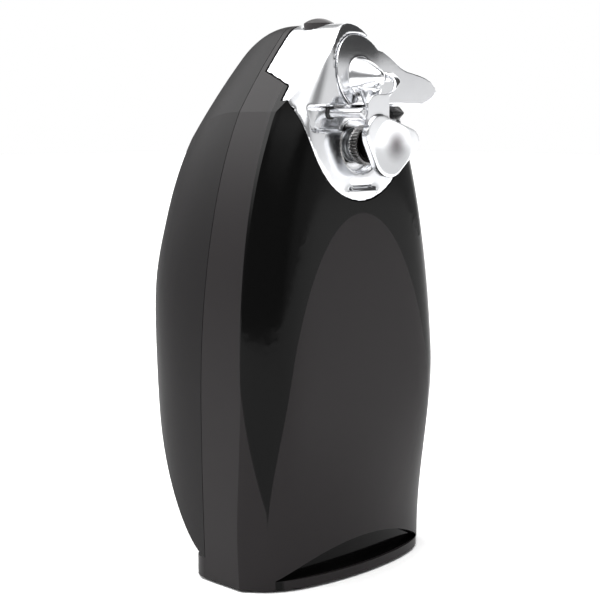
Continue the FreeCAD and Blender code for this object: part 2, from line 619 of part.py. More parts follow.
# ---------------------------------------------------------------- gears
def gear(module, teeth, y0, y1, first_tooth, centre, body_hole):
    """Involute spur gear along Y; first_tooth is the angle of one tooth's centre in degrees."""
    pitch = module * teeth / 2
    base = pitch * math.cos(math.radians(PRESSURE_ANGLE))
    tip = pitch + ADDENDUM * module
    root = pitch - 1.15 * module
    roll_pitch = math.tan(math.radians(PRESSURE_ANGLE))
    involute = roll_pitch - math.radians(PRESSURE_ANGLE)
    half_tooth = math.pi / (2 * teeth) - BACKLASH / (2 * pitch)

    def flank_angle(radius):
        if radius <= base:
            return half_tooth + involute
        roll = math.sqrt((radius / base) ** 2 - 1.0)
        return half_tooth + involute - (roll - math.atan(roll))

    radii = [root, max(base, root), (max(base, root) + pitch) / 2, pitch, (pitch + tip) / 2, tip]
    points = []
    for tooth in range(teeth):
        middle = math.radians(first_tooth) + 2 * math.pi * tooth / teeth
        for r in radii:
            points.append((r, middle - flank_angle(r)))
        for r in reversed(radii):
            points.append((r, middle + flank_angle(r)))
    x, z = centre
    shape = polygon([(x + r * math.cos(a), z + r * math.sin(a)) for r, a in points], y0, y1)
    return shape.cut(rod(x, z, body_hole, y0 - 1, y1 + 1)) if body_hole else shape


def stage_distance(stage):
    module, small, large = stage
    return module * (small + large) / 2


SECOND_Z = DRIVE_Z - stage_distance(STAGE_THREE)
FIRST_Z = SECOND_Z - stage_distance(STAGE_TWO)
MOTOR_Z = FIRST_Z - stage_distance(STAGE_ONE)
PLANE_ONE, PLANE_TWO, PLANE_THREE = GEAR_PLANES
FRAME_Y = (CAP_BACK_Y, CAP_BACK_Y + FRAME_THICK)
BRACKET_FRONT_Y = STATOR_Y[0] - 6.0
BRACKET_REAR_Y = STATOR_Y[1] + 4.0


def space_below(teeth):
    """First tooth's angle that leaves a gap pointing straight down."""
    return -90.0 + 180.0 / teeth


def make_output_gear():
    shape = gear(STAGE_THREE[0], STAGE_THREE[2], *PLANE_THREE, space_below(STAGE_THREE[2]),
                 (0.0, DRIVE_Z), SHAFT_RADIUS)
    recess = ring(0.0, DRIVE_Z, 18.0, 8.0, PLANE_THREE[1] - 2.0, PLANE_THREE[1])
    return shape.cut(recess)


def compound_gear(z, large, small, large_plane, small_plane):
    """Large wheel and small pinion on one sleeve."""
    wheel = gear(large[0], large[2], *large_plane, space_below(large[2]), (0.0, z), 0.0)
    pinion = gear(small[0], small[1], *small_plane, 90.0, (0.0, z), 0.0)
    lead = small[0] * (small[1] / 2 - 1.15)
    front, back = min(small_plane[0], large_plane[0]), max(small_plane[1], large_plane[1])
    sleeve = rod(0.0, z, max(lead, PIN_RADIUS + 0.8), front, back)
    shape = wheel.fuse(sleeve).fuse(pinion)
    return shape.cut(rod(0.0, z, PIN_RADIUS + FIT, front - 1, back + 1))


def make_second_gear():
    return compound_gear(SECOND_Z, STAGE_TWO, STAGE_THREE, PLANE_TWO, PLANE_THREE)


def make_first_gear():
    return compound_gear(FIRST_Z, STAGE_ONE, STAGE_TWO, PLANE_ONE, PLANE_TWO)


def make_gear_pins():
    """Pins of the two intermediate gears, riveted into the frame."""
    pins = [rod(0.0, SECOND_Z, PIN_RADIUS, FRAME_Y[0], PLANE_TWO[1] + 2.0),
            rod(0.0, FIRST_Z, PIN_RADIUS, FRAME_Y[0], PLANE_ONE[1] + 2.0)]
    return Part.makeCompound(pins)


def make_gear_clips():
    """Retaining rings behind the intermediate gears."""
    clips = [ring(0.0, SECOND_Z, PIN_RADIUS + 1.5, PIN_RADIUS, PLANE_TWO[1] + 0.3, PLANE_TWO[1] + 1.1),
             ring(0.0, FIRST_Z, PIN_RADIUS + 1.0, PIN_RADIUS, PLANE_ONE[1] + 0.3, PLANE_ONE[1] + 1.1)]
    return Part.makeCompound(clips)


# ---------------------------------------------------------------- drive and motor
def make_drive_shaft():
    """Feed wheel's shaft with its thrust collar."""
    shaft = rod(0.0, DRIVE_Z, SHAFT_RADIUS, WHEEL_Y[0] - 2.6, PLANE_THREE[1] + 3.0)
    collar = rod(0.0, DRIVE_Z, SHAFT_RADIUS + 1.8, WHEEL_Y[1], DISH_FLOOR_Y - 1.2)
    return shaft.fuse(collar)


def make_shaft_bush():
    """Flanged bearing pressed through the cap and the frame."""
    bush = rod(0.0, DRIVE_Z, BUSH_RADIUS, DISH_FLOOR_Y - 1.0, FRAME_Y[1])
    return bush.cut(rod(0.0, DRIVE_Z, SHAFT_RADIUS + FIT, -40.0, 10.0))


def make_feed_wheel():
    """Toothed wheel that turns the can by its rim."""
    depth = 0.9
    points = []
    for i in range(WHEEL_TEETH):
        a = 2 * math.pi * i / WHEEL_TEETH
        step = 2 * math.pi / WHEEL_TEETH
        points.append((WHEEL_RADIUS - depth, a - step * 0.5))
        points.append((WHEEL_RADIUS, a - step * 0.08))
        points.append((WHEEL_RADIUS, a + step * 0.08))
    flat = [(r * math.cos(a), DRIVE_Z + r * math.sin(a)) for r, a in points]
    wheel = polygon(flat, *WHEEL_Y)
    wheel = wheel.cut(ring(0.0, DRIVE_Z, WHEEL_RADIUS - 2.2, SHAFT_RADIUS + 1.4,
                           WHEEL_Y[0], WHEEL_Y[0] + 0.8))
    return wheel.cut(rod(0.0, DRIVE_Z, SHAFT_RADIUS, -40.0, 0.0))


def make_wheel_nut():
    """Round slotted nut that holds the feed wheel."""
    nut = ring(0.0, DRIVE_Z, SHAFT_RADIUS + 1.2, SHAFT_RADIUS, WHEEL_Y[0] - 1.8, WHEEL_Y[0])
    return nut


def make_drive_clip():
    """Ring behind the output gear."""
    return ring(0.0, DRIVE_Z, SHAFT_RADIUS + 2.0, SHAFT_RADIUS, PLANE_THREE[1], PLANE_THREE[1] + 1.2)


def make_mounting_frame():
    """Steel plate that carries the cutter, the gears and the motor."""
    top_half = 19.0
    points = [(-FRAME_HALF, FRAME_BOTTOM_Z), (FRAME_HALF, FRAME_BOTTOM_Z), (FRAME_HALF, 196.0),
              (top_half, 212.0), (10.0, 224.0), (-7.0, 224.0), (-top_half, 212.0),
              (-FRAME_HALF, 196.0)]
    plate = polygon(points, *FRAME_Y)
    plate = plate.cut(rod(0.0, DRIVE_Z, BUSH_RADIUS, -20.0, 0.0))
    plate = plate.cut(rod(*PIVOT, PIVOT_RADIUS + FIT, -20.0, 0.0))
    for z in (SECOND_Z, FIRST_Z):
        plate = plate.cut(rod(0.0, z, PIN_RADIUS, -20.0, 0.0))
    for side in (-1, 1):
        for z in (FRAME_BOTTOM_Z + 4.0, MOTOR_Z):
            plate = plate.cut(rod(side * BOLT_X, z, SCREW_RADIUS, -20.0, 0.0))
    return plate.cut(make_frame_screws())


def make_motor_standoffs():
    """Two pillars between the frame and the motor's front bracket."""
    pillars = [ring(side * BOLT_X, MOTOR_Z, 3.6, SCREW_RADIUS, FRAME_Y[1], BRACKET_FRONT_Y)
               for side in (-1, 1)]
    return Part.makeCompound(pillars)


def motor_bracket(y0):
    """Bearing bracket across the motor."""
    plate = rounded_hull(((-BOLT_X, MOTOR_Z, 5.0), (0.0, MOTOR_Z - 8.0, 5.0), (BOLT_X, MOTOR_Z, 5.0),
                          (0.0, MOTOR_Z + 8.0, 5.0)), y0, y0 + BRACKET_THICK)
    for side in (-1, 1):
        plate = plate.cut(rod(side * BOLT_X, MOTOR_Z, SCREW_RADIUS, y0 - 1, y0 + 5))
    return plate.cut(rod(0.0, MOTOR_Z, 4.5, y0 - 1, y0 + 5))


def make_motor_front_bracket():
    plate = motor_bracket(BRACKET_FRONT_Y)
    for side in (-1, 1):
        plate = plate.fuse(ring(side * BOLT_X, MOTOR_Z, 3.4, SCREW_RADIUS,
                                BRACKET_FRONT_Y + BRACKET_THICK, STATOR_Y[0]))
    return plate


def make_motor_rear_bracket():
    plate = motor_bracket(BRACKET_REAR_Y)
    for side in (-1, 1):
        plate = plate.fuse(ring(side * BOLT_X, MOTOR_Z, 3.4, SCREW_RADIUS,
                                STATOR_Y[1], BRACKET_REAR_Y))
    return plate


def make_motor_bearings():
    """Two sintered bearings in the brackets."""
    bores = [ring(0.0, MOTOR_Z, 4.5, 2.0 + FIT, y - 0.5, y + BRACKET_THICK + 0.5)
             for y in (BRACKET_FRONT_Y, BRACKET_REAR_Y)]
    return Part.makeCompound(bores)


def make_motor_stator():
    """Laminated core: bore for the rotor and a window for the coil."""
    y0, y1 = STATOR_Y
    core = block(-STATOR_HALF, STATOR_HALF, y0, y1, MOTOR_Z - 48.0, MOTOR_Z + 21.0)
    core = core.cut(rod(0.0, MOTOR_Z, ROTOR_RADIUS + AIR_GAP, y0 - 1, y1 + 1))
    core = core.cut(block(-14.5, 14.5, y0 - 1, y1 + 1, MOTOR_Z - 38.0, MOTOR_Z - 19.0))
    for side in (-1, 1):
        core = core.cut(rod(side * BOLT_X, MOTOR_Z, SCREW_RADIUS, y0 - 1, y1 + 1))
    return core


def make_motor_coil():
    """Winding on its bobbin, around the core's lower limb."""
    y0, y1 = STATOR_Y
    low, high = MOTOR_Z - 48.0, MOTOR_Z - 38.0
    coil = block(-13.5, 13.5, y0 - 6.0, y1 + 6.0, low - 7.0, high + 7.0)
    long_edges = [e for e in coil.Edges if abs(e.tangentAt(e.FirstParameter).x) > 0.99]
    coil = coil.makeFillet(4.0, long_edges)
    return coil.cut(block(-20.0, 20.0, y0, y1, low, high))


def make_rotor():
    """Rotor core on the motor shaft's middle."""
    return ring(0.0, MOTOR_Z, ROTOR_RADIUS, 2.0, STATOR_Y[0] - 0.5, STATOR_Y[1] + 0.5)


def make_motor_shaft():
    """Motor shaft with the pinion cut on its front end."""
    shaft = rod(0.0, MOTOR_Z, 2.0, PLANE_ONE[1], BRACKET_REAR_Y + BRACKET_THICK + 4.0)
    pinion = gear(STAGE_ONE[0], STAGE_ONE[1], PLANE_ONE[0] - 0.5, PLANE_ONE[1] + 0.5, 90.0,
                  (0.0, MOTOR_Z), 0.0)
    return shaft.fuse(pinion)


def make_motor_fan():
    """Small cooling fan behind the rear bracket."""
    y0 = BRACKET_REAR_Y + BRACKET_THICK + 1.2
    hub = ring(0.0, MOTOR_Z, 4.5, 2.0, y0, y0 + 2.6)
    for i in range(6):
        blade = block(3.6, 15.0, y0, y0 + 2.6, MOTOR_Z - 0.6, MOTOR_Z + 0.6)
        blade.rotate(V(0, y0, MOTOR_Z), V(0, 1, 0), 60.0 * i)
        hub = hub.fuse(blade)
    return hub


def screw(x, z, head_y, tip_y, head_radius, toward_back):
    """Pan-head screw along Y whose head sits at head_y and whose shank runs to tip_y."""
    shank = rod(x, z, SCREW_RADIUS, min(head_y, tip_y), max(head_y, tip_y))
    if toward_back:
        return shank.fuse(rod(x, z, head_radius, head_y, head_y + 2.0)).cut(
            block(x - head_radius, x + head_radius, head_y + 1.2, head_y + 3, z - 0.4, z + 0.4))
    return shank.fuse(rod(x, z, head_radius, head_y - 2.0, head_y))


def make_cover_screws():
    """Four screws that hold the rear cover."""
    seat = SEAM_Y + SEAM_GAP / 2 + 8.0
    screws = [screw(side * x, z, seat, SEAM_Y - 12.0, SCREW_RADIUS + 1.8, True)
              for x, z in REAR_BOSSES for side in (-1, 1)]
    return Part.makeCompound(screws)


def make_motor_bolts():
    """Two long bolts through the motor into the standoffs and the frame."""
    head = BRACKET_REAR_Y + BRACKET_THICK
    bolts = [screw(side * BOLT_X, MOTOR_Z, head, FRAME_Y[0], 3.0, True) for side in (-1, 1)]
    return Part.makeCompound(bolts)


def make_frame_screws():
    """Screws from the frame's back into the housing and the cap."""
    places = [(side * BOLT_X, FRAME_BOTTOM_Z + 4.0, -17.0) for side in (-1, 1)]
    places += [(side * CAP_SCREW[0], CAP_SCREW[1], CAP_SCREW_TIP_Y) for side in (-1, 1)]
    radius, depth = FLUSH_HEAD
    screws = [rod(x, z, SCREW_RADIUS, tip, FRAME_Y[1]).fuse(
        rod(x, z, radius, FRAME_Y[1] - depth, FRAME_Y[1])) for x, z, tip in places]
    return Part.makeCompound(screws)


# ---------------------------------------------------------------- lever's switch and spring
CRANK_START = -math.radians(LEVER_RAISE / 2)


def crank_pin_place():
    """Crank pin's X and Z at rest: half the lever's swing before bottom centre."""
    x, z = PIVOT
    return (x + CRANK_RADIUS * math.sin(CRANK_START), z - CRANK_RADIUS * math.cos(CRANK_START))


def make_switch_crank():
    """Arm on the pivot shaft's rear end, with the pin that moves the switch."""
    pin_x, pin_z = crank_pin_place()
    x, z = PIVOT
    arm = rounded_hull(((pin_x, pin_z, 2.6), (x, z, 5.4)), *CRANK_Y)
    arm = arm.fuse(rod(pin_x, pin_z, CRANK_PIN, CRANK_Y[1], SLIDER_Y[1] + 0.6))
    return arm.cut(rod(*PIVOT, PIVOT_RADIUS, 0.0, 30.0))


def make_switch_slider():
    """Bar that the crank pin pushes along, in and out of the switch."""
    pin_x, pin_z = crank_pin_place()
    slider = block(-14.0, pin_x + 4.4, *SLIDER_Y, pin_z - 3.4, pin_z + 3.4)
    slot = block(pin_x - CRANK_PIN - FIT, pin_x + CRANK_PIN + FIT, SLIDER_Y[0] - 1, SLIDER_Y[1] + 1,
                 pin_z - 2.2, pin_z + 2.2)
    return slider.cut(slot)


def make_switch_body():
    """Switch case on two legs that stand on the frame."""
    pin_z = crank_pin_place()[1]
    case = block(-20.5, -6.5, SLIDER_Y[0] - 2.0, SLIDER_Y[1] + 2.0, pin_z - 5.4, pin_z + 5.4)
    gap = 0.2
    case = case.cut(block(-15.0, 0.0, SLIDER_Y[0] - gap, SLIDER_Y[1] + gap,
                          pin_z - 3.4 - gap, pin_z + 3.4 + gap))
    legs = [(-18.2, pin_z - 3.0), (-17.8, pin_z + 2.6)]
    for x, z in legs:
        case = case.fuse(rod(x, z, 1.8, FRAME_Y[1], SLIDER_Y[0] - 1.5))
    return case


def make_switch_terminals():
    """Two blade terminals on the switch."""
    pin_z = crank_pin_place()[1]
    tags = [block(-19.5, -16.5, SLIDER_Y[1] + 2.0, SLIDER_Y[1] + 8.0, z - 0.4, z + 0.4)
            for z in (pin_z - 2.6, pin_z + 2.6)]
    return Part.makeCompound(tags)


def make_lever_spring():
    """Torsion spring around the pivot shaft, between the frame and the crank."""
    x, z = PIVOT
    return helix_spring(PIVOT_RADIUS + 1.3, 0.5, 1.7, 8.5, (x, FRAME_Y[1] + 1.0, z), (0, 1, 0))


# ---------------------------------------------------------------- release button
def make_release_button():
    """Domed button on the crown, with its stem."""
    top = TOP_Z + 2.6
    head_low = TOP_Z - 2.4
    ball = 11.0
    head = post(0.0, BUTTON_Y, BUTTON_RADIUS, head_low, top)
    head = head.common(Part.makeSphere(ball, V(0, BUTTON_Y, top - ball)))
    tube = post(0.0, BUTTON_Y, BUTTON_RADIUS - 0.7, head_low - 1, TOP_Z + 0.5)
    tube = tube.cut(post(0.0, BUTTON_Y, BUTTON_STEM, head_low - 1, TOP_Z + 0.5))
    head = head.cut(tube)
    return head.fuse(post(0.0, BUTTON_Y, BUTTON_STEM, BUTTON_BOSS_Z - BUTTON_STEM_LENGTH, TOP_Z))


def make_button_clip():
    """Ring on the button's stem that stops it from coming out."""
    ring_shape = post(0.0, BUTTON_Y, BUTTON_STEM + 1.6, BUTTON_BOSS_Z - 1.2, BUTTON_BOSS_Z - 0.1)
    return ring_shape.cut(post(0.0, BUTTON_Y, BUTTON_STEM, 200.0, 250.0))


def make_button_spring():
    """Compression spring under the button's head."""
    wire = 0.35
    height = TOP_Z + 0.5 - BUTTON_FLOOR_Z - 2 * wire - 0.1
    base = (0.0, BUTTON_Y, BUTTON_FLOOR_Z + wire + 0.05)
    return helix_spring(BUTTON_STEM + 1.15, wire, height / 3.5, height, base, (0, 0, 1))


# ---------------------------------------------------------------- base and inlet
def make_base_pad():
    """Rubber pad that the opener stands on."""
    return pad_block()


def make_cord_inlet():
    """Bush with a tapered sleeve where the cord enters."""
    bush = rod(0.0, INLET_Z, INLET_RADIUS, INLET_Y - 7.0, INLET_Y)
    bush = bush.fuse(rod(0.0, INLET_Z, INLET_RADIUS + 2.8, INLET_Y, INLET_Y + 2.4))
    sleeve = Part.makeCone(4.6, 3.4, 13.0, V(0, INLET_Y + 2.4, INLET_Z), V(0, 1, 0))
    return bush.fuse(sleeve).cut(rod(0.0, INLET_Z, 2.2, 0.0, 90.0))


PARTS = {
    "front_housing": make_front_housing,
    "rear_cover": make_rear_cover,
    "chrome_cap": make_chrome_cap,
    "base_pad": make_base_pad,
    "cord_inlet_bush": make_cord_inlet,
    "mounting_frame": make_mounting_frame,
    "cutting_lever": make_cutting_lever,
    "cutting_blade": make_cutting_blade,
    "lever_pivot_shaft": make_pivot_shaft,
    "magnet_arm": make_magnet_arm,
    "lid_magnet": make_lid_magnet,
    "magnet_arm_pin": make_arm_pin,
    "guide_post": make_guide_post,
    "guide_stud": make_guide_stud,
    "feed_wheel": make_feed_wheel,
    "feed_wheel_nut": make_wheel_nut,
    "drive_shaft": make_drive_shaft,
    "drive_shaft_bush": make_shaft_bush,
    "drive_shaft_clip": make_drive_clip,
    "output_gear": make_output_gear,
    "second_gear": make_second_gear,
    "first_gear": make_first_gear,
    "gear_pins": make_gear_pins,
    "gear_clips": make_gear_clips,
    "motor_stator": make_motor_stator,
    "motor_coil": make_motor_coil,
    "motor_rotor": make_rotor,
    "motor_shaft": make_motor_shaft,
    "motor_fan": make_motor_fan,
    "motor_front_bracket": make_motor_front_bracket,
    "motor_rear_bracket": make_motor_rear_bracket,
    "motor_bearings": make_motor_bearings,
    "motor_standoffs": make_motor_standoffs,
    "motor_bolts": make_motor_bolts,
    "frame_screws": make_frame_screws,
    "cover_screws": make_cover_screws,
    "switch_crank": make_switch_crank,
    "switch_slider": make_switch_slider,
    "switch_body": make_switch_body,
    "switch_terminals": make_switch_terminals,
    "lever_spring": make_lever_spring,
    "release_button": make_release_button,
    "button_clip": make_button_clip,
    "button_spring": make_button_spring,
}

os.makedirs("parts", exist_ok=True)
for node, make in PARTS.items():
    shape = make()
    shape.exportStep("parts/" + node + ".step")
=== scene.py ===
"""Looks of an electric can opener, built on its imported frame.

Each sub-assembly is a class that holds its sizes in metres, makes its meshes and dresses them.
"""
import logging
import math
from dataclasses import dataclass
from enum import Enum
from typing import Any

import bmesh
import bpy
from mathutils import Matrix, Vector


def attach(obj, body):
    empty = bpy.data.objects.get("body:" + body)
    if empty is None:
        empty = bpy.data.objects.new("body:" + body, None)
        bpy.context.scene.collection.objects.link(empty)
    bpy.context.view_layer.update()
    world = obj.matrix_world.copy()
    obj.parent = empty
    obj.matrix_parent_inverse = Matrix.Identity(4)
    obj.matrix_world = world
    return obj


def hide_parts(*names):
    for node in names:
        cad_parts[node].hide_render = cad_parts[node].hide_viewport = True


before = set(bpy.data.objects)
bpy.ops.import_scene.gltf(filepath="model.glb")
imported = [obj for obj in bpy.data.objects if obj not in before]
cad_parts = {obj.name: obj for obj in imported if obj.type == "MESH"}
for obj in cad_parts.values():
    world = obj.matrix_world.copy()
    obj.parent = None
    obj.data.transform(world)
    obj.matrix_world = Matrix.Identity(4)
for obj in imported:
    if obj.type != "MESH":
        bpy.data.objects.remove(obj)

log = logging.getLogger("can_opener")
Socket = bpy.types.NodeSocket
Nodes = bpy.types.NodeTree
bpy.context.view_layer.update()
MM = 0.001
GRAIN_DEPTH = 0.3        # depth of a moulded grain or a layer, as a share of its size
HOOP_SECTION = 12        # sides of a bead's section
HOOP_STEPS = 64          # and steps around it
CAST_ANGLE = 60.0        # a casting's edges sharper than this, in degrees, stay sharp
SEAL_BITE = 0.7          # share of the seal's bead that stands clear of the post


class MarkAxis(Enum):
    """Axis that tool marks or layers run across, with the stretch that draws the marks out."""

    X = (1.0, 0.04, 0.04)
    Y = (0.04, 1.0, 0.04)
    Z = (0.04, 0.04, 1.0)


# ---------------------------------------------------------------- colour and node helpers
def linear(colour: str) -> tuple[float, float, float, float]:
    """Turn an sRGB hex colour into linear light.

    Args:
        colour: six hex digits after a hash.

    Returns:
        Linear red, green and blue, and an alpha of 1.
    """
    channels = [int(colour[i:i + 2], 16) / 255 for i in (1, 3, 5)]
    red, green, blue = [c / 12.92 if c <= 0.04045 else ((c + 0.055) / 1.055) ** 2.4
                        for c in channels]
    return (red, green, blue, 1.0)


def add(tree: Nodes, kind: str, links: dict[Any, Any] | None = None,
        **settings: Any) -> bpy.types.Node:
    """Add a node with its settings and links.

    Args:
        tree: node tree that gets the node.
        kind: Blender's name for the node type.
        links: input name or index, with the socket or value that feeds it.
        settings: attributes of the node.

    Returns:
        The new node.
    """
    node = tree.nodes.new(kind)
    for name, value in settings.items():
        setattr(node, name, value)
    for name, source in (links or {}).items():
        if isinstance(source, Socket):
            tree.links.new(source, node.inputs[name])
        else:
            node.inputs[name].default_value = source
    return node


def start_material(name: str, **surface: Any) -> tuple[bpy.types.Material, Nodes, bpy.types.Node,
                                                       Socket]:
    """Begin a material with one Principled shader.

    Args:
        name: the material's name.
        surface: Principled sockets by name, with underscores for spaces, and their constants.

    Returns:
        The material, its tree, its shader and the object coordinates.
    """
    material = bpy.data.materials.new(name)
    material.use_nodes = True
    tree = material.node_tree
    tree.nodes.clear()
    constants = {key.replace("_", " "): value for key, value in surface.items()}
    shader = add(tree, "ShaderNodeBsdfPrincipled", constants)
    add(tree, "ShaderNodeOutputMaterial", {"Surface": shader.outputs["BSDF"]})
    place = add(tree, "ShaderNodeTexCoord").outputs["Object"]
    return material, tree, shader, place


def wire(tree: Nodes, source: Socket, shader: bpy.types.Node, socket: str) -> None:
    """Link a pattern to one of the shader's sockets."""
    tree.links.new(source, shader.inputs[socket])


# ---------------------------------------------------------------- finishes
@dataclass(frozen=True)
class MouldedPlastic:
    """Injection-moulded plastic with a spark-eroded grain: soft sheen, tiny sparkle, no gloss."""

    name: str
    dark: str
    light: str
    roughness: float = 0.5
    grain: float = 0.45 * MM
    bump: float = 0.12
    specular: float = 0.5
    patch: float = 35.0 * MM
    unevenness: float = 0.06

    def build(self) -> bpy.types.Material:
        """Make the plastic: slight tone drift, fine grain bump and uneven roughness.

        Returns:
            The finished material.
        """
        material, tree, shader, place = start_material(
            self.name, Specular_IOR_Level=self.specular, IOR=1.5)
        drift = add(tree, "ShaderNodeTexNoise", {"Vector": place, "Scale": 1 / self.patch,
                                                 "Detail": 2.0})
        tone = add(tree, "ShaderNodeMix", {0: drift.outputs[0], 6: linear(self.dark),
                                           7: linear(self.light)}, data_type="RGBA")
        wire(tree, tone.outputs[2], shader, "Base Color")
        grain = add(tree, "ShaderNodeTexNoise", {"Vector": place, "Scale": 1 / self.grain,
                                                 "Detail": 1.0})
        rough = add(tree, "ShaderNodeMapRange", {0: grain.outputs[0],
                                                 3: self.roughness - self.unevenness,
                                                 4: self.roughness + self.unevenness})
        wire(tree, rough.outputs[0], shader, "Roughness")
        bump = add(tree, "ShaderNodeBump", {"Height": grain.outputs[0], "Strength": self.bump,
                                            "Distance": self.grain * GRAIN_DEPTH})
        wire(tree, bump.outputs[0], shader, "Normal")
        return material


@dataclass(frozen=True)
class PlatedCasting:
    """Zinc die casting with bright chrome plate: mirror-like, faint flow waves, a soft haze, and, if
    a centre is given, a darker spot of painted reflection.
    """

    name: str
    colour: str = "#E9EAEC"
    shade: str = "#DCDDE0"
    roughness: float = 0.16
    wave: float = 9 * MM
    wave_bump: float = 0.06
    wave_depth: float = 0.3 * MM
    haze_patch: float = 14 * MM
    haze: tuple[float, float] = (-0.03, 0.05)
    # painted reflection: centre, radius and colour of a darker spot painted into the plate, standing
    # for the dark body mirrored there
    painted_reflection_centre: tuple[float, float, float] | None = None
    painted_reflection_radius: float = 9.5 * MM
    painted_reflection_colour: str = "#6E6B6D"

    def build(self) -> bpy.types.Material:
        """Make the plate: polishing waves in the bump, haze that comes and goes, and the painted
        reflection spot if one is given.

        Returns:
            The finished material.
        """
        material, tree, shader, place = start_material(self.name, Metallic=1.0)
        haze = add(tree, "ShaderNodeTexNoise", {"Vector": place, "Scale": 1 / self.haze_patch,
                                                "Detail": 3.0})
        tone = add(tree, "ShaderNodeMix", {0: haze.outputs[0], 6: linear(self.colour),
                                           7: linear(self.shade)}, data_type="RGBA")
        # painted reflection: the base colour darkens smoothly towards the spot's centre; the
        # roughness is left as it is
        if self.painted_reflection_centre:
            reach = add(tree, "ShaderNodeVectorMath", {0: place, 1: self.painted_reflection_centre},
                        operation="DISTANCE").outputs["Value"]
            inside = add(tree, "ShaderNodeMapRange", {0: reach, 1: self.painted_reflection_radius, 2: 0.0},
                         interpolation_type="SMOOTHSTEP")
            tone = add(tree, "ShaderNodeMix", {0: inside.outputs[0], 6: tone.outputs[2],
                                               7: linear(self.painted_reflection_colour)}, data_type="RGBA")
        wire(tree, tone.outputs[2], shader, "Base Color")
        rough = add(tree, "ShaderNodeMapRange", {0: haze.outputs[0],
                                                 3: self.roughness + self.haze[0],
                                                 4: self.roughness + self.haze[1]})
        wire(tree, rough.outputs[0], shader, "Roughness")
        waves = add(tree, "ShaderNodeTexNoise", {"Vector": place, "Scale": 1 / self.wave,
                                                 "Detail": 0.0})
        bump = add(tree, "ShaderNodeBump", {"Height": waves.outputs[0], "Strength": self.wave_bump,
                                            "Distance": self.wave_depth})
        wire(tree, bump.outputs[0], shader, "Normal")
        return material


@dataclass(frozen=True)
class CutMetal:
    """Turned, ground or stamped metal: fine parallel tool marks that streak the highlight."""

    name: str
    colour: str
    shade: str
    roughness: float = 0.3
    axis: MarkAxis = MarkAxis.Y
    pitch: float = 0.3 * MM
    mark_bump: float = 0.15
    mark_depth: float = 0.05 * MM
    unevenness: float = 0.08

    def build(self) -> bpy.types.Material:
        """Make the metal: tool marks across one axis, with a little tone between them.

        Returns:
            The finished material.
        """
        material, tree, shader, place = start_material(self.name, Metallic=1.0)
        along = add(tree, "ShaderNodeMapping", {"Vector": place, "Scale": self.axis.value})
        marks = add(tree, "ShaderNodeTexNoise", {"Vector": along.outputs[0], "Scale": 1 / self.pitch,
                                                 "Detail": 2.0})
        tone = add(tree, "ShaderNodeMix", {0: marks.outputs[0], 6: linear(self.shade),
                                           7: linear(self.colour)}, data_type="RGBA")
        wire(tree, tone.outputs[2], shader, "Base Color")
        rough = add(tree, "ShaderNodeMapRange", {0: marks.outputs[0],
                                                 3: self.roughness + self.unevenness,
                                                 4: self.roughness - self.unevenness})
        wire(tree, rough.outputs[0], shader, "Roughness")
        bump = add(tree, "ShaderNodeBump", {"Height": marks.outputs[0], "Strength": self.mark_bump,
                                            "Distance": self.mark_depth})
        wire(tree, bump.outputs[0], shader, "Normal")
        return material


@dataclass(frozen=True)
class StackedSheet:
    """Laminated core or close winding: fine dark lines between bright layers along Y or Z."""

    name: str
    layer: str
    gap: str
    pitch: float
    axis: MarkAxis = MarkAxis.Y
    roughness: float = 0.35
    layer_bump: float = 0.3

    def build(self) -> bpy.types.Material:
        """Make the stack: one band per layer, dark where two layers meet.

        Returns:
            The finished material.
        """
        material, tree, shader, place = start_material(self.name, Metallic=1.0)
        bands = add(tree, "ShaderNodeTexWave", {"Vector": place, "Scale": math.pi / (10 * self.pitch),
                                                "Distortion": 0.0}, wave_type="BANDS",
                    bands_direction=self.axis.name)
        tone = add(tree, "ShaderNodeMix", {0: bands.outputs[1], 6: linear(self.gap),
                                           7: linear(self.layer)}, data_type="RGBA")
        wire(tree, tone.outputs[2], shader, "Base Color")
        rough = add(tree, "ShaderNodeMapRange", {0: bands.outputs[1], 3: self.roughness + 0.2,
                                                 4: self.roughness})
        wire(tree, rough.outputs[0], shader, "Roughness")
        bump = add(tree, "ShaderNodeBump", {"Height": bands.outputs[1], "Strength": self.layer_bump,
                                            "Distance": self.pitch * GRAIN_DEPTH})
        wire(tree, bump.outputs[0], shader, "Normal")
        return material


